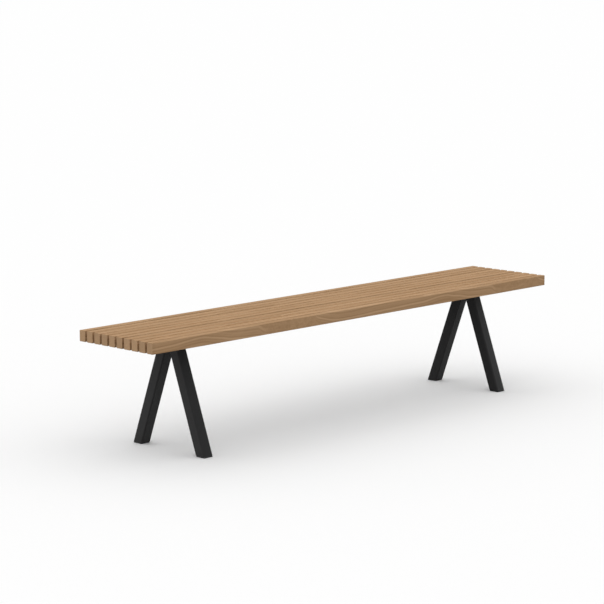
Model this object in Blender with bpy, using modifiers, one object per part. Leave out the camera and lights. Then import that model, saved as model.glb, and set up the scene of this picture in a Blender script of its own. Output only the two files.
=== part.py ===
"""Backless slatted bench: ten hardwood slats on two inverted-V legs of square steel tube.

Metres, +Z up. The origin is on the floor under the middle of the seat. +X runs along the seat,
and the front of the bench faces -Y. Each leg frame is two tubes meeting under a head plate.
Three flat steel bars hold the slats together from below with countersunk wood screws: one bearer
over each leg frame and a strip at midspan. Each head plate is fixed through its bearer with four
coach screws.
"""

import math

import bmesh
import bpy
from mathutils import Matrix, Vector

# ---------------------------------------------------------------- seat
SEAT_HEIGHT = 0.454
SEAT_LENGTH = 2.200
SLAT_COUNT = 10
SLAT_WIDTH = 0.030
SLAT_DEPTH = 0.041
SLAT_GAP = 0.010
SLAT_EDGE_RADIUS = 0.002

BAR_THICKNESS = 0.003  # bearers and middle strip
BAR_LENGTH = 0.362  # across the slats
BAR_CORNER = 0.005
BEARER_WIDTH = 0.080
STRIP_WIDTH = 0.050

# ---------------------------------------------------------------- leg frames
LEG_CENTRE_X = 0.830  # centre of each leg frame from the middle of the bench
LEG_LEAN = math.radians(20.1)  # each tube from the vertical
FOOT_Y = 0.1692  # each tube's axis at the floor, from the middle of the bench
TUBE_SIZE = 0.044
TUBE_WALL = 0.003
TUBE_CORNER = 0.005  # outer corner radius
BORE_OVERRUN = 0.010  # the bore's cutter runs this far past each end of the tube
TRIM_SIZE = (0.08, 0.04, 0.05)  # cutter that trims a tube at the middle of its frame

HEAD_THICKNESS = 0.006
HEAD_LENGTH = 0.240  # across the slats
HEAD_WIDTH = 0.080
HEAD_CORNER = 0.008

CAP_FLANGE = 0.005  # visible thickness of a foot cap
CAP_INSET = 0.0004  # the flange stands this much inside the tube's outline
CAP_SPIGOT_TOP = 0.024  # height the cap's spigot reaches inside the tube

# ---------------------------------------------------------------- fasteners
WOOD_SCREW_RADIUS = 0.0022
WOOD_SCREW_HEAD_RADIUS = 0.0044
WOOD_SCREW_LENGTH = 0.028
WOOD_SCREW_RECESS = 0.0001  # its head stands this far above the bar's underside
OUTER_SCREW_Y = 0.174  # limit on a wood screw's distance from the middle

COACH_RADIUS = 0.004
COACH_LENGTH = 0.038
COACH_TIP_RADIUS = 0.0015
COACH_FLANGE_RADIUS = 0.009
COACH_FLANGE_THICKNESS = 0.0016
COACH_FLANGE_TAPER = 0.0006  # the flange's underside is this much smaller in radius
COACH_HEX_FLATS = 0.013  # across the flats
COACH_HEX_TOP = -0.0010  # from the flange's upper face, so the hexagon starts inside the flange
COACH_HEX_HEIGHT = 0.0058
COACH_X = 0.028  # from the leg frame's centre
COACH_SLATS = (2, 7)  # the slats, counted from 0, that take the coach screws

POINT_LENGTH = 0.005  # tapered end of both kinds of screw

# ---------------------------------------------------------------- clearances and cutter overruns
GAP = 0.0003  # between neighbouring pieces
COACH_PILOT_CLEARANCE = 0.0004  # on the radius, as are the next two
WOOD_HOLE_CLEARANCE = 0.0004
COACH_HOLE_CLEARANCE = 0.0005
PILOT_OVERRUN = 0.005  # below the slat
PILOT_SPARE_DEPTH = 0.001  # beyond the screw's point
BAR_HOLE_OVERRUN = 0.001
HEAD_HOLE_OVERRUN = 0.002
SHANK_HOLE_START = 0.0010  # above the bar's underside, inside the flare
FLARE_OVERRUN = 0.0005  # below the bar, on the same 45 degree slope

ROUND_STEPS = 12
SMOOTH_ANGLE = math.radians(35)  # steeper edges stay sharp on the tubes and foot caps

# ---------------------------------------------------------------- derived sizes and levels
SLAT_PITCH = SLAT_WIDTH + SLAT_GAP
SLAT_BOTTOM = SEAT_HEIGHT - SLAT_DEPTH
BAR_TOP = SLAT_BOTTOM - GAP
BAR_BOTTOM = BAR_TOP - BAR_THICKNESS
HEAD_TOP = BAR_BOTTOM - GAP
HEAD_BOTTOM = HEAD_TOP - HEAD_THICKNESS
TUBE_TOP = HEAD_BOTTOM - GAP
TUBE_BOTTOM = CAP_FLANGE + GAP
COACH_SEAT_Z = HEAD_BOTTOM - GAP  # upper face of the coach screws' flanges
BORE_SIZE = TUBE_SIZE - 2 * TUBE_WALL
BORE_CORNER = TUBE_CORNER - TUBE_WALL

# ---------------------------------------------------------------- finishes
WOOD = (0.452, 0.281, 0.155)
WOOD_VARIATION = 0.05  # largest change of brightness from slat to slat
WOOD_PHASE = 2.4  # radians per slat, so that neighbours differ
WOOD_ROUGHNESS = 0.6
STEEL_BLACK = (0.019, 0.019, 0.019)
BAR_FINISH = dict(colour=STEEL_BLACK, roughness=0.55, metallic=0.0)
FRAME_FINISH = dict(colour=STEEL_BLACK, roughness=0.5, metallic=0.0)
CAP_FINISH = dict(colour=(0.012, 0.012, 0.012), roughness=0.6, metallic=0.0)
ZINC_FINISH = dict(colour=(0.62, 0.62, 0.60), roughness=0.35, metallic=1.0)

# ---------------------------------------------------------------- screw profiles
# Columns: radius, height above the screw's own origin. They run from the top of the axis down.
WOOD_SCREW_PROFILE = [
    (0.0, WOOD_SCREW_LENGTH),
    (WOOD_SCREW_RADIUS, WOOD_SCREW_LENGTH - POINT_LENGTH),
    (WOOD_SCREW_RADIUS, WOOD_SCREW_HEAD_RADIUS - WOOD_SCREW_RADIUS),
    (WOOD_SCREW_HEAD_RADIUS, 0.0),
    (0.0, 0.0),
]
COACH_PROFILE = [
    (0.0, COACH_LENGTH),
    (COACH_TIP_RADIUS, COACH_LENGTH),
    (COACH_RADIUS, COACH_LENGTH - POINT_LENGTH),
    (COACH_RADIUS, 0.0),
    (COACH_FLANGE_RADIUS, 0.0),
    (COACH_FLANGE_RADIUS - COACH_FLANGE_TAPER, -COACH_FLANGE_THICKNESS),
    (0.0, -COACH_FLANGE_THICKNESS),
]


# ---------------------------------------------------------------- where the fasteners go
def slat_y(index):
    return (index - (SLAT_COUNT - 1) / 2) * SLAT_PITCH


def wood_screw_y(index):
    """On the slat's centre line, but nearer the middle on the outermost slats."""
    return max(-OUTER_SCREW_Y, min(OUTER_SCREW_Y, slat_y(index)))


BAR_X = {"left": -LEG_CENTRE_X, "middle": 0.0, "right": LEG_CENTRE_X}
SIDES = ("left", "right")

# (slat index, x, y) of every screw, by the bar it goes through
WOOD_SCREWS = {
    bar: [
        (i, x, wood_screw_y(i))
        for i in range(SLAT_COUNT)
        if bar == "middle" or i not in COACH_SLATS
    ]
    for bar, x in BAR_X.items()
}
COACH_SCREWS = {
    side: [
        (i, BAR_X[side] + offset, slat_y(i))
        for i in COACH_SLATS
        for offset in (-COACH_X, COACH_X)
    ]
    for side in SIDES
}


# ---------------------------------------------------------------- scene helpers
def new_collection(name):
    collection = bpy.data.collections.new(name)
    bpy.context.scene.collection.children.link(collection)
    return collection


def new_material(name, colour, roughness, metallic):
    material = bpy.data.materials.new(name)
    material.use_nodes = True
    shader = material.node_tree.nodes["Principled BSDF"]
    shader.inputs["Base Color"].default_value = (*colour, 1.0)
    shader.inputs["Roughness"].default_value = roughness
    shader.inputs["Metallic"].default_value = metallic
    material.diffuse_color = (*colour, 1.0)
    return material


def add_object(
    name, shape, location=(0, 0, 0), parent=None, finish=None, smooth=False, collection=None
):
    """Turns a bmesh into an object, in the bench's collection unless told otherwise."""
    mesh = bpy.data.meshes.new(name)
    shape.to_mesh(mesh)
    shape.free()
    if smooth:
        mesh.shade_smooth()
        mesh.set_sharp_from_angle(angle=SMOOTH_ANGLE)
    if finish:
        mesh.materials.append(new_material(name + "_finish", **finish))
    obj = bpy.data.objects.new(name, mesh)
    (collection or bench).objects.link(obj)
    obj.location = location
    obj.parent = parent
    return obj


def add_empty(name, location, parent=None):
    empty = bpy.data.objects.new(name, None)
    empty.empty_display_size = 0.05
    bench.objects.link(empty)
    empty.location = location
    empty.parent = parent
    return empty


def combine(obj, suffix, shape, operation="DIFFERENCE", **placing):
    """Cuts the shape from the object, or joins it on, through a hidden helper object."""
    helper = add_object(obj.name + suffix, shape, collection=cutters, **placing)
    helper.hide_render = True
    helper.display_type = "WIRE"
    boolean = obj.modifiers.new(operation.lower(), "BOOLEAN")
    boolean.operation = operation
    boolean.solver = "EXACT"
    boolean.object = helper


# ---------------------------------------------------------------- shapes
def block(size, radius=0, segments=0):
    """A cuboid on its own centre. A radius rounds its four upright edges."""
    shape = bmesh.new()
    bmesh.ops.create_cube(shape, size=1.0)
    bmesh.ops.scale(shape, vec=Vector(size), verts=shape.verts)
    if radius:
        upright = [
            edge
            for edge in shape.edges
            if abs((edge.verts[0].co - edge.verts[1].co).normalized().z) > 0.99
        ]
        bmesh.ops.bevel(
            shape, geom=upright, offset=radius, segments=segments, profile=0.5, affect="EDGES"
        )
    return shape


def leaning_bar(section, radius, segments, bottom, top, side):
    """A square bar that leans inwards as it rises, with level ends.

    side is +1 for the back leg and -1 for the front leg. The axis passes through the origin.
    """
    shape = block((section, section, top - bottom), radius, segments)
    bmesh.ops.translate(shape, vec=(0, 0, (bottom + top) / 2), verts=shape.verts)
    # a level cut through a leaning bar stretches its section along the lean
    lean = Matrix.Identity(4)
    lean[1][1] = 1 / math.cos(LEG_LEAN)
    lean[1][2] = -side * math.tan(LEG_LEAN)
    bmesh.ops.transform(shape, matrix=lean, verts=shape.verts)
    return shape


def add_cylinder(shape, radius, bottom, top, x=0, y=0, radius_low=None, segments=ROUND_STEPS):
    """Adds an upright cylinder, or a cone that is radius_low wide at its lower end."""
    bmesh.ops.create_cone(
        shape,
        cap_ends=True,
        segments=segments,
        radius1=radius if radius_low is None else radius_low,
        radius2=radius,
        depth=top - bottom,
        matrix=Matrix.Translation((x, y, (bottom + top) / 2)),
    )


def turned(name, profile, **placing):
    """A piece turned about Z from a profile of (radius, height) points."""
    shape = bmesh.new()
    points = [shape.verts.new((radius, 0, z)) for radius, z in profile]
    for start, end in zip(points, points[1:]):
        shape.edges.new((start, end))
    obj = add_object(name, shape, **placing)
    turn = obj.modifiers.new("turn", "SCREW")
    turn.axis = "Z"
    turn.angle = math.tau
    turn.steps = turn.render_steps = ROUND_STEPS
    turn.use_merge_vertices = True
    turn.merge_threshold = 0.00001
    turn.use_smooth_shade = True
    return obj


# ---------------------------------------------------------------- seat pieces
def pilot_holes(index):
    """Cutter for the blind holes in one slat's underside, in world coordinates."""
    wood_top = BAR_BOTTOM + WOOD_SCREW_LENGTH + PILOT_SPARE_DEPTH
    coach_top = COACH_SEAT_Z + COACH_LENGTH + PILOT_SPARE_DEPTH
    shape = bmesh.new()
    for screws, radius, top in (
        (WOOD_SCREWS, WOOD_SCREW_RADIUS + GAP, wood_top),
        (COACH_SCREWS, COACH_RADIUS + COACH_PILOT_CLEARANCE, coach_top),
    ):
        for spots in screws.values():
            for slat_index, x, y in spots:
                if slat_index == index:
                    add_cylinder(shape, radius, SLAT_BOTTOM - PILOT_OVERRUN, top, x, y)
    return shape


def add_slat(index):
    brightness = 1 + WOOD_VARIATION * math.sin(WOOD_PHASE * index)
    colour = tuple(channel * brightness for channel in WOOD)
    slat = add_object(
        f"slat_{index + 1:02d}",
        block((SEAT_LENGTH, SLAT_WIDTH, SLAT_DEPTH)),
        location=(0, slat_y(index), SLAT_BOTTOM + SLAT_DEPTH / 2),
        parent=seat,
        finish=dict(colour=colour, roughness=WOOD_ROUGHNESS, metallic=0.0),
    )
    bevel = slat.modifiers.new("rounded_edges", "BEVEL")
    bevel.width = SLAT_EDGE_RADIUS
    bevel.segments = 2
    bevel.limit_method = "ANGLE"
    combine(slat, "_pilots", pilot_holes(index))


def add_coach_holes(shape, spots, bottom, top):
    for _, x, y in spots:
        add_cylinder(shape, COACH_RADIUS + COACH_HOLE_CLEARANCE, bottom, top, x, y)


def add_flat_bar(name, bar, width):
    """A bearer or the middle strip, with its wood screw holes flared at the underside."""
    obj = add_object(
        name,
        block((width, BAR_LENGTH, BAR_THICKNESS), BAR_CORNER, segments=2),
        location=(BAR_X[bar], 0, (BAR_TOP + BAR_BOTTOM) / 2),
        parent=seat,
        finish=BAR_FINISH,
    )
    shank = WOOD_SCREW_RADIUS + WOOD_HOLE_CLEARANCE
    flare = WOOD_SCREW_HEAD_RADIUS + WOOD_HOLE_CLEARANCE
    hole_top = BAR_TOP + BAR_HOLE_OVERRUN
    holes = bmesh.new()
    flares = bmesh.new()
    for _, x, y in WOOD_SCREWS[bar]:
        add_cylinder(holes, shank, BAR_BOTTOM + SHANK_HOLE_START, hole_top, x, y)
        add_cylinder(
            flares,
            shank,
            BAR_BOTTOM - FLARE_OVERRUN,
            BAR_BOTTOM + flare - shank,
            x,
            y,
            radius_low=flare + FLARE_OVERRUN,
        )
    add_coach_holes(holes, COACH_SCREWS.get(bar, []), BAR_BOTTOM - BAR_HOLE_OVERRUN, hole_top)
    combine(obj, "_holes", holes)
    combine(obj, "_flares", flares)


# ---------------------------------------------------------------- leg frame pieces
def add_head_plate(side, frame):
    head = add_object(
        f"head_plate_{side}",
        block((HEAD_WIDTH, HEAD_LENGTH, HEAD_THICKNESS), HEAD_CORNER, segments=3),
        location=(0, 0, (HEAD_TOP + HEAD_BOTTOM) / 2),
        parent=frame,
        finish=FRAME_FINISH,
    )
    holes = bmesh.new()
    add_coach_holes(
        holes, COACH_SCREWS[side], HEAD_BOTTOM - HEAD_HOLE_OVERRUN, HEAD_TOP + HEAD_HOLE_OVERRUN
    )
    combine(head, "_holes", holes)


def add_leg_tube(name, frame, sign):
    placing = dict(location=(0, sign * FOOT_Y, 0), parent=frame)
    tube = add_object(
        name,
        leaning_bar(TUBE_SIZE, TUBE_CORNER, 3, TUBE_BOTTOM, TUBE_TOP, sign),
        finish=FRAME_FINISH,
        smooth=True,
        **placing,
    )
    bore = leaning_bar(
        BORE_SIZE, BORE_CORNER, 2, TUBE_BOTTOM - BORE_OVERRUN, TUBE_TOP + BORE_OVERRUN, sign
    )
    combine(tube, "_bore", bore, **placing)
    # the two tubes meet just under the head plate, each trimmed at the middle of the frame
    trim_y = sign * (GAP / 2 - TRIM_SIZE[1] / 2)
    combine(tube, "_trim", block(TRIM_SIZE), location=(0, trim_y, TUBE_TOP), parent=frame)


def add_foot_cap(name, frame, sign):
    """A flange just inside the tube's outline, with a spigot that plugs into the tube."""
    placing = dict(location=(0, sign * FOOT_Y, 0), parent=frame)
    cap = add_object(
        name,
        leaning_bar(
            TUBE_SIZE - 2 * CAP_INSET, TUBE_CORNER - CAP_INSET, 3, 0.0, CAP_FLANGE, sign
        ),
        finish=CAP_FINISH,
        smooth=True,
        **placing,
    )
    # the spigot starts inside the flange
    spigot = leaning_bar(
        BORE_SIZE - 2 * GAP, BORE_CORNER, 2, CAP_FLANGE / 2, CAP_SPIGOT_TOP, sign
    )
    combine(cap, "_spigot", spigot, "UNION", **placing)


# ---------------------------------------------------------------- fastener pieces
def add_wood_screw(bar, index, x, y):
    """A countersunk screw, point up, with its flat head almost flush with the bar's underside."""
    turned(
        f"wood_screw_{bar}_{index + 1:02d}",
        WOOD_SCREW_PROFILE,
        location=(x, y, BAR_BOTTOM + WOOD_SCREW_RECESS),
        parent=seat,
        finish=ZINC_FINISH,
    )


def add_coach_screw(side, frame, index, x, y):
    """A screw with a flanged hex head, driven up through the head plate and the bearer."""
    end = "a" if x < BAR_X[side] else "b"
    placing = dict(location=(x - BAR_X[side], y, COACH_SEAT_Z), parent=frame)
    name = f"coach_screw_{side}_{index + 1:02d}{end}"
    screw = turned(name, COACH_PROFILE, finish=ZINC_FINISH, **placing)
    hexagon = bmesh.new()
    add_cylinder(
        hexagon,
        COACH_HEX_FLATS / 2 / math.cos(math.pi / 6),
        COACH_HEX_TOP - COACH_HEX_HEIGHT,
        COACH_HEX_TOP,
        segments=6,
    )
    combine(screw, "_hex", hexagon, "UNION", **placing)


# ---------------------------------------------------------------- build
for old in list(bpy.data.objects):
    bpy.data.objects.remove(old, do_unlink=True)

bench = new_collection("backless_bench")
cutters = new_collection("cutters")

# empties that carry the assemblies
origin = add_empty("bench_origin", (0, 0, 0))
seat = add_empty("seat", (0, 0, 0), origin)
frames = {side: add_empty(f"leg_frame_{side}", (BAR_X[side], 0, 0), origin) for side in SIDES}

for i in range(SLAT_COUNT):
    add_slat(i)

add_flat_bar("bearer_left", "left", BEARER_WIDTH)
add_flat_bar("bearer_right", "right", BEARER_WIDTH)
add_flat_bar("strip_middle", "middle", STRIP_WIDTH)

for side, frame in frames.items():
    add_head_plate(side, frame)
    for place, sign in (("front", -1), ("back", 1)):
        add_leg_tube(f"leg_tube_{side}_{place}", frame, sign)
        add_foot_cap(f"foot_cap_{side}_{place}", frame, sign)

for bar, spots in WOOD_SCREWS.items():
    for spot in spots:
        add_wood_screw(bar, *spot)

for side, spots in COACH_SCREWS.items():
    for spot in spots:
        add_coach_screw(side, frames[side], *spot)
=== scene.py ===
"""Backless slatted bench: finer meshes and procedural materials in the places of the CAD pieces.

Metres, +Z up, feet on z = 0. The slats run along X and the front of the bench faces -Y. The two tubes
of each leg frame (left and right) lean together in the YZ plane and meet at y = 0 under a head plate.
"""

import math
from collections import namedtuple

import bmesh
import bpy
from mathutils import Matrix, Vector

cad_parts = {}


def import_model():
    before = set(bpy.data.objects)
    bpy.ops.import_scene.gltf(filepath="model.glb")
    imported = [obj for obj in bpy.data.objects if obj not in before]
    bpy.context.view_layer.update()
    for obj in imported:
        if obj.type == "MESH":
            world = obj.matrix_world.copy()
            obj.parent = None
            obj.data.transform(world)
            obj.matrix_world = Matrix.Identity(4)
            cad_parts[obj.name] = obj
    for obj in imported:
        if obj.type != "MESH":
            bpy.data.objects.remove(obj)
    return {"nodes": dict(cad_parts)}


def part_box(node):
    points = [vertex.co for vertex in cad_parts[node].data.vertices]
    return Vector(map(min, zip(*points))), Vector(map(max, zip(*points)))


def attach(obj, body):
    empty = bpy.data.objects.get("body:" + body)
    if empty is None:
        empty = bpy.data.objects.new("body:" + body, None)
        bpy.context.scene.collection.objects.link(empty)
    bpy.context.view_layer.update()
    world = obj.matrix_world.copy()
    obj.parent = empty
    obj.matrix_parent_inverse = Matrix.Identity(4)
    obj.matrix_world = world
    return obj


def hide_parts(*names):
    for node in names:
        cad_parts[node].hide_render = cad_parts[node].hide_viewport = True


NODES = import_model()["nodes"]
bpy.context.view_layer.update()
scene = bpy.context.scene

BOXES = {node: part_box(node) for node in NODES}  # (low corner, high corner) of each CAD piece
SLATS = sorted(node for node in NODES if node.startswith("slat_"))
WOOD_SCREWS = sorted(node for node in NODES if node.startswith("wood_screw_"))
COACH_SCREWS = sorted(node for node in NODES if node.startswith("coach_screw_"))

# Radii of the holes for the two kinds of screw
WOOD_SCREW_HOLE = 0.0026
COACH_SCREW_HOLE = 0.0045


def middle(node):
    low, high = BOXES[node]
    return (low + high) / 2


# ---------------------------------------------------------------- shader trees
def operator(operation, swapped=False):
    """A Python operator that adds one math node."""
    def apply(self, other):
        pair = (other, self) if swapped else (self, other)
        return self.tree.math(operation, *pair)
    return apply


class Signal:
    """A node output that can be used in arithmetic."""

    def __init__(self, tree, socket):
        self.tree = tree
        self.socket = socket

    __add__ = operator("ADD")
    __radd__ = operator("ADD", swapped=True)
    __sub__ = operator("SUBTRACT")
    __rsub__ = operator("SUBTRACT", swapped=True)
    __mul__ = operator("MULTIPLY")
    __truediv__ = operator("DIVIDE")
    __pow__ = operator("POWER")

    def __abs__(self):
        return self.tree.math("ABSOLUTE", self)


class Tree:
    """Short names for building a shader node tree. Results are Signals."""

    def __init__(self, tree):
        self.tree = tree

    def node(self, kind, **settings):
        node = self.tree.nodes.new(kind)
        for key, value in settings.items():
            setattr(node, key, value)
        return node

    def output(self, node, key):
        return Signal(self, node.outputs[key])

    def put(self, socket, value):
        if isinstance(value, Signal):
            self.tree.links.new(value.socket, socket)
        else:
            socket.default_value = value

    def math(self, operation, *values, clamp=False):
        node = self.node("ShaderNodeMath", operation=operation, use_clamp=clamp)
        for socket, value in zip(node.inputs, values):
            self.put(socket, value)
        return self.output(node, 0)

    def multiply_add(self, value, factor, addend):
        return self.math("MULTIPLY_ADD", value, factor, addend)

    def vector_math(self, operation, first, second):
        node = self.node("ShaderNodeVectorMath", operation=operation)
        self.put(node.inputs[0], first)
        self.put(node.inputs["Scale" if operation == "SCALE" else 1], second)
        return self.output(node, "Vector")

    def object_coords(self):
        return self.output(self.node("ShaderNodeTexCoord"), "Object")

    def xyz(self, vector):
        node = self.node("ShaderNodeSeparateXYZ")
        self.put(node.inputs[0], vector)
        return [Signal(self, socket) for socket in node.outputs]

    def join(self, x, y, z):
        node = self.node("ShaderNodeCombineXYZ")
        for socket, value in zip(node.inputs, (x, y, z)):
            self.put(socket, value)
        return self.output(node, 0)

    def noise(self, vector, scale=1.0, detail=2.0, rough=0.5, distortion=0.0):
        node = self.node("ShaderNodeTexNoise")
        self.put(node.inputs["Vector"], vector)
        node.inputs["Scale"].default_value = scale
        node.inputs["Detail"].default_value = detail
        node.inputs["Roughness"].default_value = rough
        node.inputs["Distortion"].default_value = distortion
        return self.output(node, "Fac")

    def remap(self, value, between, to=(0.0, 1.0), smooth=False):
        node = self.node("ShaderNodeMapRange")
        node.interpolation_type = "SMOOTHSTEP" if smooth else "LINEAR"
        node.clamp = True
        self.put(node.inputs["Value"], value)
        for key, limit in zip(("From Min", "From Max", "To Min", "To Max"), (*between, *to)):
            self.put(node.inputs[key], limit)
        return self.output(node, "Result")

    def mix(self, factor, first, second):
        node = self.node("ShaderNodeMix", data_type="RGBA", blend_type="MIX")
        self.put(node.inputs["Factor"], factor)
        self.put(node.inputs["A"], first)
        self.put(node.inputs["B"], second)
        return Signal(self, next(out for out in node.outputs if out.type == "RGBA"))

    def ramp(self, factor, colours):
        """A straight ramp through three colours, at 0, 0.5 and 1."""
        node = self.node("ShaderNodeValToRGB")
        elements = node.color_ramp.elements
        elements.new(0.5)
        for element, position, colour in zip(elements, (0.0, 0.5, 1.0), colours):
            element.position = position
            element.color = (*colour, 1.0)
        self.put(node.inputs["Fac"], factor)
        return self.output(node, "Color")

    def curve(self, value, points):
        node = self.node("ShaderNodeFloatCurve")
        curve = node.mapping.curves[0]
        curve.points[0].location = points[0]
        curve.points[1].location = points[-1]
        for point in points[1:-1]:
            curve.points.new(*point)
        for point in curve.points:
            point.handle_type = "AUTO_CLAMPED"
        node.mapping.update()
        self.put(node.inputs["Value"], value)
        return self.output(node, 0)

    def bump(self, height, strength, distance):
        node = self.node("ShaderNodeBump")
        node.inputs["Strength"].default_value = strength
        node.inputs["Distance"].default_value = distance
        self.put(node.inputs["Height"], height)
        return self.output(node, "Normal")


def centred(signal, span):
    """A 0 to 1 signal, moved to swing about zero over the span."""
    return (signal - 0.5) * span


def new_material(name, kind="ShaderNodeBsdfPrincipled"):
    material = bpy.data.materials.new(name)
    material.use_nodes = True
    material.node_tree.nodes.clear()
    t = Tree(material.node_tree)
    shader = t.node(kind)
    surface = t.node("ShaderNodeOutputMaterial").inputs["Surface"]
    t.put(surface, t.output(shader, 0))
    return material, t, shader


# ---------------------------------------------------------------- wood
# The grain is a stack of curved sheets, cut by each slat at its own height.
FLAME_PERIOD = 1.327  # length of one repeat of the timber
# Height of one sheet along a repeat: (fraction of the repeat, mm from the slat's centre line)
FLAME = [
    (0.0, 45), (0.013, 12), (0.030, 5), (0.043, 1), (0.060, -4), (0.083, -8), (0.121, -11),
    (0.166, -12), (0.215, -10.2), (0.290, -7), (0.366, -3.2), (0.422, -1), (0.467, 0.8),
    (0.516, 6.8), (0.550, 9.5), (0.567, 9.8), (0.580, 8.5), (0.597, 4.8), (0.627, -1.2),
    (0.652, -7.2), (0.667, -11), (0.686, -14), (0.724, -17), (0.776, -19), (0.788, -24),
    (0.803, -34), (0.829, -38), (0.880, -42), (0.925, -36), (0.955, -20), (0.980, 8), (1.0, 45),
]
# Shade of the sheets: (mm above the crest sheet, pale + or dark -)
SHEETS = [
    (-60, -0.1), (-50, 0.1), (-40, -0.1), (-30, 0.1), (-22, 0.0), (-16, -0.55), (-11, 0.05),
    (-6.5, -0.45), (-3.0, 0.75), (0.5, 0.95), (2.6, 0.45), (5.5, -0.55), (10, 0.15), (14, 0.0),
    (19, 0.35), (25, -0.45), (31, 0.75), (35, 0.7), (39, 0.0), (45, -0.4), (52, 0.1),
    (58, -0.5), (64, 0.1), (70, -0.3), (78, 0.2), (85, -0.3), (92, 0.1), (100, -0.1),
]
# The wild grain between two repeats: (fraction of the repeat, strength)
WILD = [
    (0.0, 0.75), (0.012, 0.3), (0.035, 0.0), (0.770, 0.0),
    (0.800, 0.35), (0.850, 0.95), (0.970, 0.95), (1.0, 0.75),
]
# Curve nodes run over 0 to 1, so both tables are raised by their depth and divided by their span
FLAME_DEPTH, FLAME_SPAN = 60.0, 110.0
SHEET_DEPTH, SHEET_SPAN = 60.0, 160.0
MM = 0.001

OAK = (0.452, 0.2810, 0.1545)
DARK_TINT = (0.74, 0.70, 0.64)
LIGHT_TINT = (1.22, 1.27, 1.33)
PORE_TINT = (0.46, 0.40, 0.34)
END_TINT = (1.135, 1.175, 1.235)  # sawn ends against the planed sides
WORN_OAK = (0.60, 0.42, 0.26)

# start: where the flame starts, swing: how much of its height shows, slope: of the sheets across
# the slat, offset: of the sheets, tone: of the sides, of the ends, and painted light and shade on the
# front side where it shows in the gaps, ring_gap: between growth rings
Timber = namedtuple("Timber", "start swing slope offset tone end_tone gap_tone ring_gap")
SLAT_TIMBER = [
    Timber(-0.285, 1.00, 0.25, 0.000, 1.020, 0.940, 0.970, 0.0031),
    Timber(0.310, 0.35, 0.90, 0.012, 1.100, 0.927, 0.975, 0.0026),
    Timber(0.940, 0.50, -0.80, -0.010, 1.012, 1.035, 1.248, 0.0029),
    Timber(0.120, 0.25, 1.10, 0.020, 1.042, 1.022, 1.237, 0.0024),
    Timber(0.700, 0.45, -1.00, 0.004, 1.057, 0.953, 0.876, 0.0027),
    Timber(-0.150, 0.30, 0.80, -0.014, 1.028, 1.004, 1.221, 0.0030),
    Timber(0.480, 0.40, 1.20, 0.008, 1.048, 0.936, 1.104, 0.0025),
    Timber(1.100, 0.35, -0.90, 0.016, 1.007, 0.973, 1.042, 0.0028),
    Timber(0.220, 0.45, 1.00, -0.006, 1.010, 1.025, 1.164, 0.0026),
    Timber(0.820, 0.40, -1.10, 0.010, 1.030, 1.006, 0.923, 0.0030),
]


def tinted(colour, tint, amount=1.0):
    return tuple(channel * factor * amount for channel, factor in zip(colour, tint))


def scaled(colour, amount):
    return tuple(channel * amount for channel in colour)


def grain_noise(t, spot, along, across, seed, **settings):
    """Noise stretched along the slat; along and across are its frequencies."""
    x, y, z = spot
    place_along = t.multiply_add(x, factor=along, addend=seed)
    return t.noise(t.join(place_along, y * across, z * across), **settings)


def end_noise(t, spot, across, seed, rough):
    """Noise that changes only across the slat."""
    _, y, z = spot
    return t.noise(t.join(seed, y * across, z * across), rough=rough)


def grain_figure(t, spot, seed, timber):
    """The shade of the sheets, the sawtooth of the growth rings, and their dark late wood."""
    x, y, z = spot
    wander = grain_noise(t, spot, along=2.6, across=8.0, seed=seed, scale=1.6, rough=0.45)
    wander = centred(wander, span=0.008)
    ripple = grain_noise(t, spot, along=14.0, across=60.0, seed=seed)
    ripple = centred(ripple, span=0.0026)

    turn = t.math("FRACT", (x - timber.start) / FLAME_PERIOD)
    flame = t.curve(turn, [(part, (up + FLAME_DEPTH) / FLAME_SPAN) for part, up in FLAME])
    flame = (flame - FLAME_DEPTH / FLAME_SPAN) * (FLAME_SPAN * MM * timber.swing)
    slope_pivot = 0.015  # the slope turns about this distance in front of the centre line
    sheet = z + (y + slope_pivot) * timber.slope - flame + wander + ripple + timber.offset

    sheet_range = (-SHEET_DEPTH * MM, (SHEET_SPAN - SHEET_DEPTH) * MM)
    shades = [((up + SHEET_DEPTH) / SHEET_SPAN, (shade + 1.0) / 2.0) for up, shade in SHEETS]
    figure = t.curve(t.remap(sheet, between=sheet_range), shades)
    figure = t.multiply_add(figure, factor=2.0, addend=-1.0)

    # between two repeats the sheets fade into wild, slightly darker grain
    wild = t.curve(turn, WILD)
    knots = grain_noise(t, spot, along=55.0, across=60.0, seed=seed, distortion=1.5)
    knots = t.multiply_add(knots, factor=1.8, addend=-1.10)
    figure = figure * t.multiply_add(wild, factor=-0.85, addend=1.0) + knots * wild

    # growth rings: pale early wood that darkens into a thin line of late wood
    ring_wander = 90.0
    saw = t.math("FRACT", sheet / timber.ring_gap + wander * ring_wander)
    late = saw ** 2.2 * t.remap(saw, between=(0.93, 1.0), to=(1.0, 0.0), smooth=True)
    return figure, saw, late


def sawn_colour(t, spot, seed, figure, late, end_tone):
    """Sawn ends: the rings read as arcs and the pores as dots."""
    dots = end_noise(t, spot, across=800.0, seed=seed, rough=0.6)
    grit = end_noise(t, spot, across=170.0, seed=seed * 1.3, rough=0.55)
    arcs = (0.30 - late) * 0.22 + figure * 0.05
    arcs = arcs + centred(grit, span=0.34) + centred(dots, span=0.36)
    arcs = t.math("ADD", arcs, 0.5, clamp=True)
    sawn = tinted(OAK, END_TINT, end_tone)
    return t.ramp(arcs, (scaled(sawn, 0.62), sawn, scaled(sawn, 1.28)))


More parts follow.
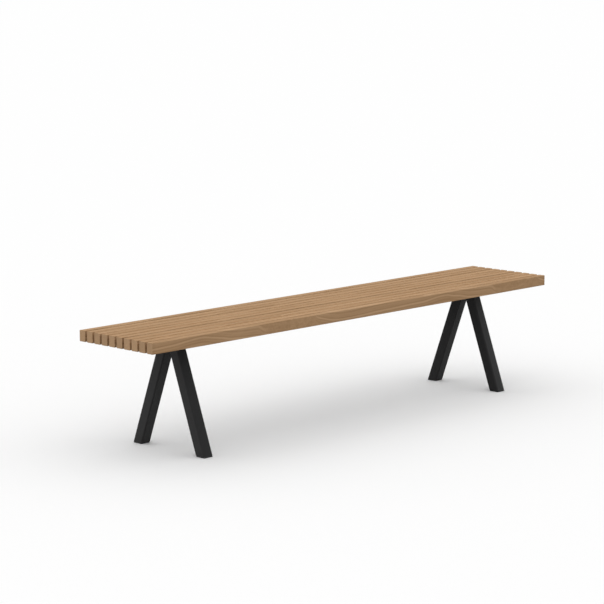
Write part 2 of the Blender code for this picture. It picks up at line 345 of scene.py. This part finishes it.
def wood_material(index, centre, timber):
    material, t, shader = new_material(f"slat_{index + 1:02d}_wood")
    seed = 3.71 * index + 1.3
    coords = t.object_coords()
    normal = t.output(t.node("ShaderNodeNewGeometry"), "Normal")
    spot = x, _, _ = t.xyz(t.vector_math("SUBTRACT", coords, tuple(centre)))
    figure, saw, late = grain_figure(t, spot, seed, timber)

    # fibres and pores run along the slat
    streak = grain_noise(t, spot, along=2.2, across=210.0, seed=seed, detail=3.0, rough=0.62)
    fibre = grain_noise(t, spot, along=16.0, across=1100.0, seed=seed, rough=0.6)
    pore = grain_noise(t, spot, along=45.0, across=1500.0, seed=seed, detail=1.0)
    pore = t.remap(pore, between=(0.62, 0.74), smooth=True)
    patch = grain_noise(t, spot, along=4.0, across=12.0, seed=seed * 2.1)

    # lightness: each part adds its own share about 0.5
    value = figure * 0.44 + (0.26 - late) * 0.26 + centred(streak, span=0.60)
    value = value + centred(fibre, span=0.34) + centred(patch, span=0.30)
    value = t.math("ADD", value, 0.5, clamp=True)
    base = scaled(OAK, timber.tone)
    colour = t.ramp(value, (tinted(base, DARK_TINT), base, tinted(base, LIGHT_TINT)))
    colour = t.mix(pore * 0.26, colour, (*tinted(base, PORE_TINT), 1.0))

    # the front (-Y) sides, seen in the gaps, carry painted light and shade per slat, and more painted
    # shade close to the ends of the slat
    gap_shade_mask = t.remap(t.xyz(normal)[1], between=(-0.30, -0.75), smooth=True)
    painted_gap_shade_range = (timber.gap_tone - 1.0, min(timber.gap_tone, 1.0) * 0.95 - 1.0)
    painted_gap_shade_change = t.remap(abs(x), between=(1.080, 1.092), to=painted_gap_shade_range)
    painted_gap_shade_factor = t.multiply_add(gap_shade_mask, factor=painted_gap_shade_change, addend=1.0)
    colour = t.vector_math("SCALE", colour, painted_gap_shade_factor)

    end = t.remap(abs(t.xyz(normal)[0]), between=(0.80, 0.97), smooth=True)
    colour = t.mix(end, colour, sawn_colour(t, spot, seed, figure, late, timber.end_tone))

    # rounded edges are rubbed a little paler
    across_x, across_y, across_z = [abs(part) for part in t.xyz(normal)]
    flatness = t.math("MAXIMUM", across_x, t.math("MAXIMUM", across_y, across_z))
    edge = t.remap(flatness, between=(0.80, 0.985), to=(1.0, 0.0), smooth=True)
    worn = edge * t.remap(patch, between=(0.40, 0.65), to=(0.02, 0.14))
    colour = t.mix(worn, colour, (*scaled(WORN_OAK, timber.tone), 1.0))

    # the underside throws a plain, uncoloured light on the floor
    facing_down = t.remap(t.xyz(normal)[2], between=(-0.5, -0.9))
    below = facing_down * t.output(t.node("ShaderNodeLightPath"), "Is Diffuse Ray")
    colour = t.mix(below, colour, (0.28, 0.28, 0.28, 1.0))

    t.put(shader.inputs["Base Color"], colour)
    rough = 0.66 + centred(streak, span=0.16) + t.math("MAXIMUM", pore, end) * 0.14
    t.put(shader.inputs["Roughness"], rough)
    shader.inputs["Specular IOR Level"].default_value = 0.008
    height = fibre * 0.5 + saw * 0.25 - pore * 0.6
    t.put(shader.inputs["Normal"], t.bump(height, strength=0.35, distance=0.00012))
    return material


# ---------------------------------------------------------------- metal and plastic
DUST = (0.20, 0.19, 0.17, 1.0)
# Shine of the powder coat: (0 facing the viewer to 1 at grazing angles, specular level)
COAT_SHINE = [
    (0.0, 0.29), (0.10, 0.27), (0.18, 0.21), (0.235, 0.175), (0.26, 0.225),
    (0.33, 0.40), (0.36, 0.41), (0.41, 0.33), (0.47, 0.38), (1.0, 0.38),
]


def powder_coat(name, level, rough):
    """Black powder coat: faint orange peel, a fine texture and dust close to the floor."""
    material, t, shader = new_material(name)
    coords = t.object_coords()
    peel = t.noise(coords, scale=420.0)
    grit = t.noise(coords, scale=1500.0, detail=2.5, rough=0.6)
    cloud = t.noise(coords, scale=9.0, detail=3.0, rough=0.6)
    z = t.xyz(coords)[2]
    speckle = 1.0 + centred(cloud, span=0.30)
    speckle = speckle + t.remap(grit, between=(0.36, 0.64), to=(-0.34, 0.34), smooth=True)
    dust = t.remap(z, between=(0.0, 0.10), to=(1.0, 0.0), smooth=True)
    dust = dust * t.remap(cloud, between=(0.35, 0.75))
    colour = t.vector_math("SCALE", (level, level, level * 1.02), speckle)
    t.put(shader.inputs["Base Color"], t.mix(dust * 0.05, colour, DUST))
    t.put(shader.inputs["Roughness"], rough + centred(cloud, span=0.10) + dust * 0.12)
    facing = t.node("ShaderNodeLayerWeight")
    facing.inputs["Blend"].default_value = 0.5
    shine = t.curve(t.output(facing, "Facing"), COAT_SHINE)
    t.put(shader.inputs["Specular IOR Level"], shine)
    height = peel * 0.45 + grit * 0.55
    t.put(shader.inputs["Normal"], t.bump(height, strength=0.70, distance=0.00016))
    return material


def moulded_plastic(name):
    """Black plastic with a fine moulded grain."""
    material, t, shader = new_material(name)
    coords = t.object_coords()
    grain = t.noise(coords, scale=1800.0, rough=0.55)
    cloud = t.noise(coords, scale=60.0)
    colour = t.vector_math("SCALE", (0.010, 0.010, 0.010), 0.85 + cloud * 0.3)
    t.put(shader.inputs["Base Color"], colour)
    t.put(shader.inputs["Roughness"], 0.55 + grain * 0.12)
    t.put(shader.inputs["Normal"], t.bump(grain, strength=0.35, distance=0.00008))
    return material


def stainless(name):
    """Plain stainless screw steel with fine scratches around its upright axis."""
    material, t, shader = new_material(name)
    coords = t.object_coords()
    scratch_scale = (900.0, 900.0, 5200.0)
    scratch = t.noise(t.vector_math("MULTIPLY", coords, scratch_scale), rough=0.6)
    cloud = t.noise(coords, scale=240.0)
    colour = t.vector_math("SCALE", (0.60, 0.59, 0.57), 0.88 + cloud * 0.24)
    t.put(shader.inputs["Base Color"], colour)
    shader.inputs["Metallic"].default_value = 1.0
    t.put(shader.inputs["Roughness"], 0.24 + scratch * 0.22)
    t.put(shader.inputs["Normal"], t.bump(scratch, strength=0.20, distance=0.00004))
    return material


# ---------------------------------------------------------------- solids
def box_bm(size, radius=0.0, segments=0, axis=2):
    """A box whose edges along one axis are rounded."""
    bm = bmesh.new()
    bmesh.ops.create_cube(bm, size=1.0)
    bmesh.ops.scale(bm, vec=Vector(size), verts=bm.verts)
    if radius:
        edges = [
            e for e in bm.edges
            if abs((e.verts[0].co - e.verts[1].co).normalized()[axis]) > 0.99
        ]
        bmesh.ops.bevel(
            bm, geom=edges, offset=radius, segments=segments, profile=0.5, affect="EDGES",
        )
    return bm


def soften_rims(bm, width, segments, degrees=60, level_only=False):
    """Rounds the edges sharper than an angle; level_only keeps to edges that lie level."""
    rims = [
        e for e in bm.edges
        if len(e.link_faces) == 2 and e.calc_face_angle(0.0) > math.radians(degrees)
        and not (level_only and abs(e.verts[0].co.z - e.verts[1].co.z) >= 1e-5)
    ]
    bmesh.ops.bevel(
        bm, geom=rims, offset=width, segments=segments, profile=0.5, affect="EDGES",
        clamp_overlap=True,
    )


def cylinder(bm, radius, bottom, top, x, y, segments=32, radius_low=None):
    bmesh.ops.create_cone(
        bm, cap_ends=True, segments=segments, depth=top - bottom,
        radius1=radius if radius_low is None else radius_low, radius2=radius,
        matrix=Matrix.Translation((x, y, (bottom + top) / 2)),
    )


def circle_point(radius, k, steps, z):
    angle = math.tau * k / steps
    return (radius * math.cos(angle), radius * math.sin(angle), z)


def bridge(bm, rings):
    """Walls of quads between neighbouring rings."""
    for a, b in zip(rings, rings[1:]):
        for k in range(len(a)):
            m = (k + 1) % len(a)
            bm.faces.new((a[k], a[m], b[m], b[k]))


def close_ends(bm, rings):
    bm.faces.new(list(reversed(rings[0])))
    bm.faces.new(rings[-1])


def lathe(profile, steps):
    """A turned solid from (radius, z) points, from the top of the axis down the outer side."""
    bm = bmesh.new()
    rings = []
    for radius, z in profile:
        if radius < 1e-7:
            rings.append([bm.verts.new((0, 0, z))])
        else:
            ring = [bm.verts.new(circle_point(radius, k, steps, z)) for k in range(steps)]
            rings.append(ring)
    for a, b in zip(rings, rings[1:]):
        for k in range(steps):
            m = (k + 1) % steps
            if len(a) == 1:
                bm.faces.new((a[0], b[k], b[m]))
            elif len(b) == 1:
                bm.faces.new((a[k], b[0], a[m]))
            else:
                bm.faces.new((a[k], b[k], b[m], a[m]))
    return bm


def threaded_bm(levels, start, end, pitch, depth, steps=20, per_turn=10):
    """A turned solid with a screw thread from start to end.

    levels are (radius, z) of the bare core from the bottom up.
    """
    fade_out = 0.004
    half_width = 0.26  # of the thread, in pitches
    tip = 0.0004  # the closing point beyond the last level
    samples = range(int((end - start) / pitch * per_turn) + 1)
    heights = sorted({z for _, z in levels} | {start + pitch * k / per_turn for k in samples})

    def core(z):
        for (ra, za), (rb, zb) in zip(levels, levels[1:]):
            if za <= z <= zb and zb > za:
                return ra + (rb - ra) * (z - za) / (zb - za)
        return levels[-1][0]

    bm = bmesh.new()
    rings = []
    for z in heights:
        fade = 0.0
        if start <= z <= end:
            fade = max(0.0, min(1.0, (z - start) / (0.5 * pitch), (end - z) / fade_out))
        ring = []
        for k in range(steps):
            phase = (z / pitch - k / steps) % 1.0
            off_crest = min(phase, 1.0 - phase)
            ridge = max(0.0, 1.0 - (off_crest / half_width) ** 2)
            radius = core(z) + depth * fade * ridge
            ring.append(bm.verts.new(circle_point(radius, k, steps, z)))
        rings.append(ring)
    bridge(bm, rings)
    low = bm.verts.new((0, 0, levels[0][1]))
    high = bm.verts.new((0, 0, levels[-1][1] + tip))
    for k in range(steps):
        m = (k + 1) % steps
        bm.faces.new((low, rings[0][m], rings[0][k]))
        bm.faces.new((high, rings[-1][k], rings[-1][m]))
    return bm


def star_bm(radius, swing, bottom, top, lobes=6, steps=48):
    """A star-shaped plug for the drive recess, a little narrower at its inner end."""
    bm = bmesh.new()
    rings = []
    for z, scale in ((bottom, 1.0), (top, 0.90)):
        ring = []
        for k in range(steps):
            reach = scale * (radius + swing * math.cos(lobes * math.tau * k / steps))
            ring.append(bm.verts.new(circle_point(reach, k, steps, z)))
        rings.append(ring)
    bridge(bm, rings)
    close_ends(bm, rings)
    return bm


def weld_bm(points, across, radius, closed):
    """A round bead along a flat path; across is square to the path's plane.

    Its size ripples as the weld pool froze step by step.
    """
    pitch = 0.0019
    sides = 12
    bm = bmesh.new()
    across = Vector(across)
    last = len(points) - 1
    travelled = 0.0
    rings = []
    for i, point in enumerate(points):
        before = points[i - 1] if closed or i else points[0]
        after = points[(i + 1) % len(points)] if closed or i < last else points[-1]
        out = across.cross((after - before).normalized()).normalized()
        if i:
            travelled += (point - points[i - 1]).length
        phase = (travelled / pitch) % 1.0
        unevenness = 0.05 * math.sin(travelled * 310.0) + 0.04 * math.sin(travelled * 127.0)
        size = radius * (0.93 + 0.15 * (1.0 - phase) ** 1.5 + unevenness)
        if not closed:
            # the last three steps at each end thin out
            size *= min(1.0, 0.35 + 0.65 * min(i, last - i) / 3.0)
        ring = []
        for k in range(sides):
            u, v, _ = circle_point(size, k, sides, 0.0)
            ring.append(bm.verts.new(point + out * u + across * v))
        rings.append(ring)
    if closed:
        bridge(bm, rings + [rings[0]])
    else:
        bridge(bm, rings)
        close_ends(bm, rings)
    return bm


def spread(dense, step):
    """Points at even steps along a line of points."""
    lengths = [0.0]
    for a, b in zip(dense, dense[1:]):
        lengths.append(lengths[-1] + (b - a).length)
    count = max(2, round(lengths[-1] / step))
    points = []
    j = 0
    for k in range(count + 1):
        reach = lengths[-1] * k / count
        while j < len(lengths) - 2 and lengths[j + 1] < reach:
            j += 1
        span = lengths[j + 1] - lengths[j]
        part = (reach - lengths[j]) / span if span else 0.0
        points.append(dense[j].lerp(dense[j + 1], part))
    return points


def rounded_outline(half_x, half_y, radius_x, radius_y, z, step):
    """Points round a rectangle with rounded corners, evenly spread."""
    dense = []
    for sign_x, sign_y, first in ((1, 1, 0), (-1, 1, 90), (-1, -1, 180), (1, -1, 270)):
        for k in range(19):
            angle = math.radians(first + 5 * k)
            x = sign_x * (half_x - radius_x) + radius_x * math.cos(angle)
            y = sign_y * (half_y - radius_y) + radius_y * math.sin(angle)
            dense.append(Vector((x, y, z)))
    dense.append(dense[0].copy())
    return spread(dense, step)[:-1]


# ---------------------------------------------------------------- objects
def mesh_from(bm, name):
    mesh = bpy.data.meshes.new(name)
    bm.to_mesh(mesh)
    bm.free()
    return mesh


def shade(mesh, degrees):
    """Smooth shading, with edges sharper than the angle kept crisp."""
    mesh.shade_smooth()
    mesh.set_sharp_from_angle(angle=math.radians(degrees))


def finish_mesh(bm, name, smooth=35):
    bmesh.ops.recalc_face_normals(bm, faces=bm.faces)
    mesh = mesh_from(bm, name)
    shade(mesh, smooth)
    return mesh


def link(name, mesh, material):
    obj = bpy.data.objects.new(name, mesh)
    scene.collection.objects.link(obj)
    obj.data.materials.clear()  # a copied mesh brings its template's materials
    obj.data.materials.append(material)
    return obj


def cut(obj, cutters, operation="DIFFERENCE"):
    """Cuts, joins or intersects bmesh solids with an object, and applies the result."""
    helpers = []
    for k, bm in enumerate(cutters):
        name = f"{obj.name}_cut{k}"
        helper = bpy.data.objects.new(name, mesh_from(bm, name))
        scene.collection.objects.link(helper)
        modifier = obj.modifiers.new(f"cut{k}", "BOOLEAN")
        modifier.operation = operation
        modifier.solver = "EXACT"
        modifier.object = helper
        helpers.append(helper)
    bpy.context.view_layer.update()
    depsgraph = bpy.context.evaluated_depsgraph_get()
    mesh = bpy.data.meshes.new_from_object(obj.evaluated_get(depsgraph), depsgraph=depsgraph)
    obj.modifiers.clear()
    obj.data = mesh
    for helper in helpers:
        bpy.data.objects.remove(helper)


def place(obj, node=None, smooth=35, weighted=True):
    """Shades a finished piece; it rides with the bench and stands for its CAD node, if any."""
    shade(obj.data, smooth)
    if weighted:
        obj.modifiers.new("weighted", "WEIGHTED_NORMAL").keep_sharp = True
    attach(obj, "root")
    if node:
        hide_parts(node)


def boxed_piece(node, suffix, material, corner, rim, axis=2):
    """A rounded box that fills the CAD box. corner and rim are (size, segments)."""
    low, high = BOXES[node]
    bm = box_bm(high - low, *corner, axis=axis)
    soften_rims(bm, *rim)
    bmesh.ops.translate(bm, vec=(low + high) / 2, verts=bm.verts)
    return link(node + suffix, finish_mesh(bm, node), material)


def build_slat(index, node):
    low = BOXES[node][0]
    centre = middle(node)
    material = wood_material(index, centre, SLAT_TIMBER[index])
    slat = boxed_piece(node, "_batten", material, corner=(0.0020, 5), rim=(0.0010, 3), axis=0)
    pilots = bmesh.new()
    for names, radius in ((WOOD_SCREWS, WOOD_SCREW_HOLE), (COACH_SCREWS, COACH_SCREW_HOLE)):
        for name in names:
            at = middle(name)
            if abs(at.y - centre.y) < 0.015:
                top = BOXES[name][1].z + 0.001
                cylinder(pilots, radius, low.z - 0.004, top, at.x, at.y, segments=24)
    cut(slat, [pilots])
    place(slat, node)


# ---------------------------------------------------------------- leg frames
TUBE = 0.044
WALL = 0.003
CORNER = 0.005
BORE = TUBE - 2 * WALL
BORE_CORNER = CORNER - WALL
LEAN = math.radians(20.1)
STRETCH = 1 / math.cos(LEAN)  # a level cut through a tube is longer by this much in Y

CAP_GAP = 0.0003  # between a foot cap's flange and the tube
SPIGOT = BORE - 0.0024
FIN_HEIGHTS = (0.0095, 0.0145, 0.0195)
FIN_THICKNESS = 0.0009

PLATE_GAP = 0.0003  # under the head plate, above the welds and the coach screw flanges
SEAM_BEND = 0.0035  # radius of the seam's turns into the crotch


def leaning_bm(section, radius, segments, bottom, top, sign, axis):
    """A square bar cut level at both ends. axis is its (x, y) at z = 0; sign is -1 in front."""
    bm = box_bm((section, section, top - bottom), radius, segments)
    bmesh.ops.translate(bm, vec=(0, 0, (bottom + top) / 2), verts=bm.verts)
    lean = Matrix.Identity(4)
    lean[1][1] = STRETCH
    lean[1][2] = -sign * math.tan(LEAN)
    matrix = Matrix.Translation((*axis, 0)) @ lean
    bmesh.ops.transform(bm, matrix=matrix, verts=bm.verts)
    return bm


def tube_axis(node, sign):
    """The tube's axis at z = 0, worked out from the outer face at its foot."""
    low, high = BOXES[node]
    foot_outer = low.y if sign < 0 else high.y
    y = foot_outer + sign * (low.z * math.tan(LEAN) - TUBE / 2 / math.cos(LEAN))
    return (low.x + high.x) / 2, y


def build_tube(node, sign, coat):
    bottom, top = (corner.z for corner in BOXES[node])
    axis = tube_axis(node, sign)
    bm = leaning_bm(TUBE, CORNER, 8, bottom, top, sign, axis)
    tube = link(node + "_steel", finish_mesh(bm, node), coat)
    bore = leaning_bm(BORE, BORE_CORNER, 5, bottom - 0.01, top + 0.01, sign, axis)
    # the tube stops just short of y = 0, where it meets the other one
    seam_gap = 0.00015
    depth = 0.04
    trim = box_bm((0.08, depth, 0.05))
    bmesh.ops.translate(trim, vec=(axis[0], sign * (seam_gap - depth / 2), top), verts=trim.verts)
    cut(tube, [bore, trim])
    place(tube, node)


def build_foot_cap(node, tube_node, sign, plastic):
    axis = tube_axis(tube_node, sign)
    flange_top = BOXES[tube_node][0].z - CAP_GAP
    top = BOXES[node][1].z
    flange = leaning_bm(TUBE - 0.0008, CORNER - 0.0004, 8, 0.0, flange_top, sign, axis)
    soften_rims(flange, width=0.0008, segments=3, degrees=50, level_only=True)
    cap = link(node + "_plug", finish_mesh(flange, node), plastic)
    spigot = leaning_bm(SPIGOT, BORE_CORNER, 4, 0.0025, top, sign, axis)
    cut(cap, [spigot], "UNION")
    # thin fins round the spigot grip the tube, and the plug is hollow from above
    fins = [
        leaning_bm(BORE - 0.0006, BORE_CORNER, 4, z, z + FIN_THICKNESS, sign, axis)
        for z in FIN_HEIGHTS
    ]
    cut(cap, fins, "UNION")
    cut(cap, [leaning_bm(SPIGOT - 0.0044, 0.0012, 3, 0.0046, top + 0.005, sign, axis)])
    place(cap, node)


def build_head_plate(side, coat):
    node = f"head_plate_{side}"
    low, high = BOXES[node]
    plate = boxed_piece(node, "_steel", coat, corner=(0.008, 8), rim=(0.0007, 2))
    holes = bmesh.new()
    for name in COACH_SCREWS:
        if side in name:
            at = middle(name)
            cylinder(holes, COACH_SCREW_HOLE, low.z - 0.002, high.z + 0.002, at.x, at.y)
    cut(plate, [holes])
    place(plate, node)


def place_weld(name, bead, coat):
    weld = link(name, finish_mesh(bead, name, smooth=60), coat)
    place(weld, smooth=60, weighted=False)


def build_welds(side, coat):
    """A fillet runs round both tubes under the plate; a second bead closes their seam."""
    plate_node = f"head_plate_{side}"
    shift = Vector((middle(plate_node).x, 0, 0))
    top = BOXES[plate_node][0].z - PLATE_GAP
    tube_low, tube_high = BOXES[f"leg_tube_{side}_back"]
    half_y = (tube_low.z * math.tan(LEAN) + tube_high.y) - top * math.tan(LEAN)
    outline = rounded_outline(
        half_x=TUBE / 2 + 0.0004, half_y=half_y + 0.0006,
        radius_x=CORNER, radius_y=CORNER * STRETCH, z=top - 0.0009, step=0.00042,
    )
    outline = [point + shift for point in outline]
    bead = weld_bm(outline, across=(0, 0, 1), radius=0.0026, closed=True)
    place_weld(f"weld_head_{side}", bead, coat)

    # down one side of the joint, across under the crotch and up the other side
    crotch = top - (TUBE / 2 * STRETCH - (half_y - TUBE / 2 * STRETCH)) / math.tan(LEAN)
    seam_top = top - 0.001
    seam = []
    for k in range(7):
        seam.append(Vector((-TUBE / 2, 0, seam_top - (seam_top - crotch) * k / 6)))
    for k in range(1, 10):
        angle = math.radians(10 * k)
        x = -TUBE / 2 + SEAM_BEND * (1 - math.cos(angle))
        seam.append(Vector((x, 0, crotch - SEAM_BEND * math.sin(angle))))
    seam += [Vector((-point.x, 0, point.z)) for point in reversed(seam)]
    seam = [point + shift for point in spread(seam, step=0.00045)]
    bead = weld_bm(seam, across=(0, 1, 0), radius=0.0023, closed=False)
    place_weld(f"weld_seam_{side}", bead, coat)


# ---------------------------------------------------------------- bars across the slats
BARS = (("bearer_left", "left"), ("bearer_right", "right"), ("strip_middle", "middle"))


def build_bar(node, tag, coat):
    low, high = BOXES[node]
    bar = boxed_piece(node, "_steel", coat, corner=(0.005, 6), rim=(0.0004, 2))
    holes = bmesh.new()
    flares = bmesh.new()
    for name in WOOD_SCREWS:
        if f"_{tag}_" in name:
            at = middle(name)
            cylinder(holes, WOOD_SCREW_HOLE, low.z + 0.001, high.z + 0.001, at.x, at.y)
            cylinder(
                flares, WOOD_SCREW_HOLE, low.z - 0.0005, low.z + 0.0022, at.x, at.y,
                radius_low=0.0053,
            )
    for name in COACH_SCREWS:
        if tag in name:
            at = middle(name)
            cylinder(holes, COACH_SCREW_HOLE, low.z - 0.001, high.z + 0.001, at.x, at.y)
    cut(bar, [holes, flares])
    place(bar, node)


# ---------------------------------------------------------------- screws
def take_mesh(obj):
    """The mesh of a template, whose object goes."""
    mesh = obj.data
    bpy.data.objects.remove(obj)
    return mesh


def wood_screw_mesh(steel):
    """A countersunk screw, head at z = 0 and point up."""
    low, high = BOXES[WOOD_SCREWS[0]]
    length = high.z - low.z
    core = [  # (radius, z)
        (0.00425, 0.0), (0.0044, 0.00012), (0.0044, 0.00025), (0.0022, 0.0025),
        (0.0018, 0.0032), (0.0018, 0.0075), (0.0015, 0.0082), (0.0015, length - 0.0050),
        (0.0007, length - 0.0012), (0.0002, length - 0.0004),
    ]
    bm = threaded_bm(core, start=0.0078, end=length - 0.0008, pitch=0.0020, depth=0.0007)
    screw = link("wood_screw_master", finish_mesh(bm, "wood_screw_master"), steel)
    cut(screw, [star_bm(radius=0.00165, swing=0.00030, bottom=-0.0006, top=0.0019)])
    return take_mesh(screw)


def coach_screw_mesh(seat, steel):
    """A flanged coach screw, flange top at z = 0 and point up, with a hex head below."""
    low, high = BOXES[COACH_SCREWS[0]]
    top = high.z - seat
    foot = low.z - seat
    core = [  # (radius, z)
        (0.0070, -0.0020), (0.0084, -0.0014), (0.0090, -0.0006), (0.0090, 0.0),
        (0.0040, 0.00002), (0.0040, 0.0125), (0.0030, 0.0132), (0.0028, top - 0.0065),
        (0.0012, top - 0.0016), (0.0004, top - 0.0004),
    ]
    bm = threaded_bm(
        core, start=0.0130, end=top - 0.0010, pitch=0.0034, depth=0.0010, steps=32, per_turn=14,
    )
    screw = link("coach_screw_master", finish_mesh(bm, "coach_screw_master"), steel)

    # a hex whose free end is chamfered and slightly dished, as a forged head is
    hexagon = bmesh.new()
    half_flats = 0.0065
    corner = half_flats / math.cos(math.pi / 6)
    cylinder(hexagon, corner, foot, -0.0008, 0, 0, segments=6)
    head = link("coach_head_master", finish_mesh(hexagon, "coach_head_master"), steel)
    envelope = [  # (radius, z)
        (0.0, 0.0010), (0.0095, 0.0010), (0.0095, foot + 0.0020), (0.0061, foot),
        (0.0040, foot), (0.0036, foot + 0.0003), (0.0, foot + 0.0004),
    ]
    cut(head, [lathe(envelope, steps=48)], "INTERSECT")
    union = bmesh.new()
    union.from_mesh(take_mesh(head))
    cut(screw, [union], "UNION")
    return take_mesh(screw)


def set_screw(name, template, seat, turn, smooth, steel):
    """A copy of a screw's mesh, turned about its axis and moved to its hole."""
    at = middle(name)
    mesh = template.copy()
    mesh.name = name
    to_hole = Matrix.Translation(Vector((at.x, at.y, seat)))
    mesh.transform(to_hole @ Matrix.Rotation(turn, 4, "Z"))
    screw = link(name + "_steel", mesh, steel)
    place(screw, name, smooth=smooth, weighted=False)


def build_screws(steel):
    template = wood_screw_mesh(steel)
    for index, name in enumerate(WOOD_SCREWS):
        set_screw(name, template, BOXES[name][0].z, turn=2.39996 * index, smooth=32, steel=steel)
    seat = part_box("head_plate_left")[0].z - PLATE_GAP
    template = coach_screw_mesh(seat, steel)
    for index, name in enumerate(COACH_SCREWS):
        set_screw(name, template, seat, turn=0.9 * index + 0.2, smooth=28, steel=steel)


# ---------------------------------------------------------------- floor, light, camera
FLOOR_SEEN = (0.993, 0.993, 0.993, 1.0)
FLOOR_REFLECTED = (0.96, 0.96, 0.96, 1.0)
FLOOR_BOUNCE = (0.33, 0.33, 0.33, 1.0)  # as light thrown back at the bench

CAMERA_PLACE = (-6.46205, -6.11338, 1.90545)
CAMERA_YAW = 0.80143  # radians from +Y towards +X
CAMERA_PITCH = 0.16233  # radians below level
CAMERA_LENS = 138.443126  # mm


def build_floor():
    bm = bmesh.new()
    bmesh.ops.create_grid(bm, x_segments=4, y_segments=4, size=60.0)
    material, t, diffuse = new_material("floor_white", "ShaderNodeBsdfDiffuse")
    path = t.node("ShaderNodeLightPath")
    seen = t.mix(t.output(path, "Is Glossy Ray"), FLOOR_SEEN, FLOOR_REFLECTED)
    colour = t.mix(t.output(path, "Is Diffuse Ray"), seen, FLOOR_BOUNCE)
    t.put(diffuse.inputs["Color"], colour)
    floor = link("floor", mesh_from(bm, "floor"), material)
    floor.location = (0, 0, -0.0005)


def build_world():
    world = bpy.data.worlds.new("studio")
    scene.world = world
    world.use_nodes = True
    background = next(n for n in world.node_tree.nodes if n.type == "BACKGROUND")
    background.inputs["Color"].default_value = (1.0, 1.0, 1.0, 1.0)
    background.inputs["Strength"].default_value = 1.0


def build_camera():
    camera = bpy.data.objects.new("camera", bpy.data.cameras.new("camera"))
    scene.collection.objects.link(camera)
    level = math.cos(CAMERA_PITCH)
    look = Vector((
        math.sin(CAMERA_YAW) * level, math.cos(CAMERA_YAW) * level, -math.sin(CAMERA_PITCH),
    ))
    camera.location = CAMERA_PLACE
    camera.rotation_euler = look.to_track_quat("-Z", "Y").to_euler()
    camera.data.sensor_width = 36.0
    camera.data.lens = CAMERA_LENS
    camera.data.clip_end = 300.0
    scene.camera = camera


# ---------------------------------------------------------------- the bench and its stage
for index, node in enumerate(SLATS):
    build_slat(index, node)

leg_coat = powder_coat("leg_powder_coat", level=0.019, rough=0.76)
bar_coat = powder_coat("bar_powder_coat", level=0.018, rough=0.58)
plastic = moulded_plastic("foot_cap_plastic")
steel = stainless("fastener_steel")

for side in ("left", "right"):
    for where, sign in (("front", -1), ("back", 1)):
        tube_node = f"leg_tube_{side}_{where}"
        build_tube(tube_node, sign, leg_coat)
        build_foot_cap(f"foot_cap_{side}_{where}", tube_node, sign, plastic)
    build_head_plate(side, leg_coat)
    build_welds(side, leg_coat)
for node, tag in BARS:
    build_bar(node, tag, bar_coat)
build_screws(steel)

build_floor()
build_world()
build_camera()
scene.view_settings.view_transform = "Standard"
scene.view_settings.look = "None"
scene.view_settings.exposure = 0.0
scene.view_settings.gamma = 1.0
